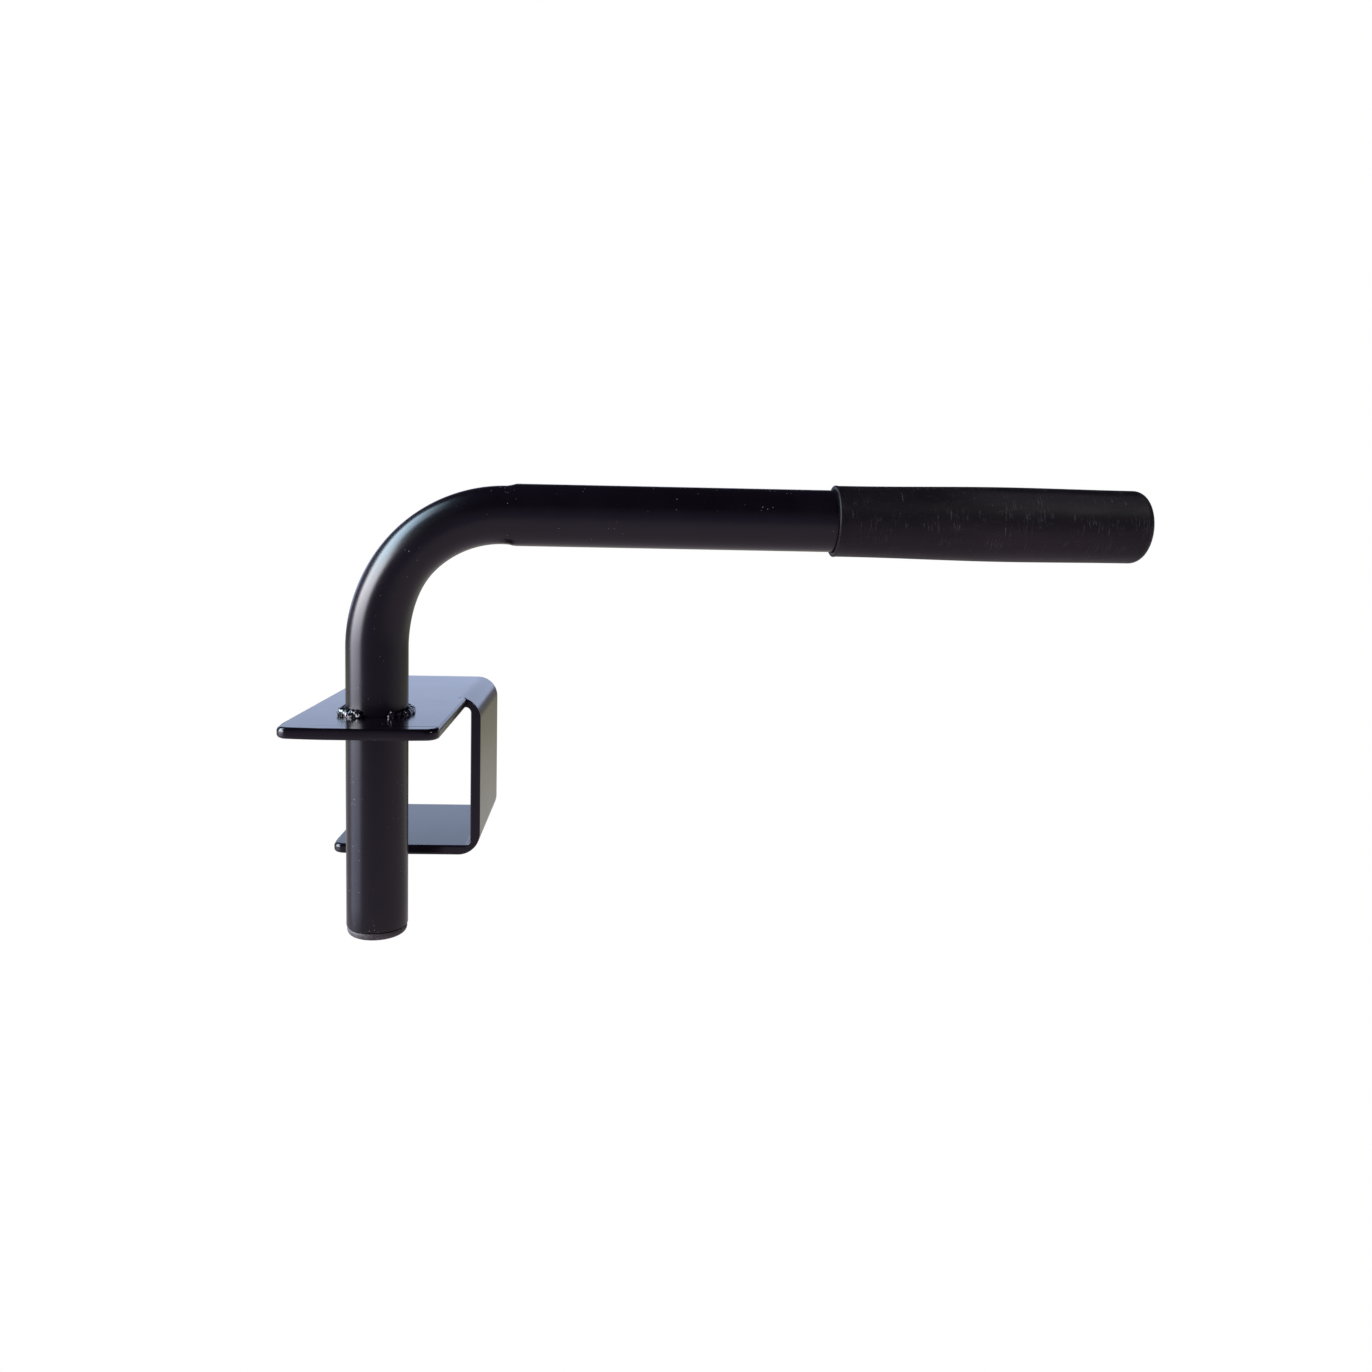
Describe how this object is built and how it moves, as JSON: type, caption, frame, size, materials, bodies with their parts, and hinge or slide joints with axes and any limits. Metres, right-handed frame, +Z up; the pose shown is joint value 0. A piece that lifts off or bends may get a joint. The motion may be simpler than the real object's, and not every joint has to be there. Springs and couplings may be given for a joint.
{
  "type": "pull up bar",
  "caption": "Bent steel tube handle with a closed rubber grip, welded through the long tab of a C-shaped plate bracket that hooks over a square beam.",
  "frame": {"origin": "middle of the flat underside of the bracket's upper flange, where it rests on the beam", "axes": "+Z up, +X along the arm from the leg towards the grip, +Y along the beam from the tab towards the channel"},
  "size_m": [0.4595, 0.21, 0.2532],
  "materials": {
    "plate_coat": "satin black powder coat",
    "tube_coat": "satin black powder coat",
    "weld_coat": "glossy black coat over rippled weld",
    "grip_rubber": "matt, lightly scratched",
    "cap_plastic": "grained"
  },
  "bodies": {
    "root": {"bracket_plate": "plate_coat", "handle_tube": "tube_coat", "weld_bead_left": "weld_coat", "weld_bead_right": "weld_coat", "grip": "grip_rubber", "leg_end_cap": "cap_plastic"}
  },
  "joints": []
}
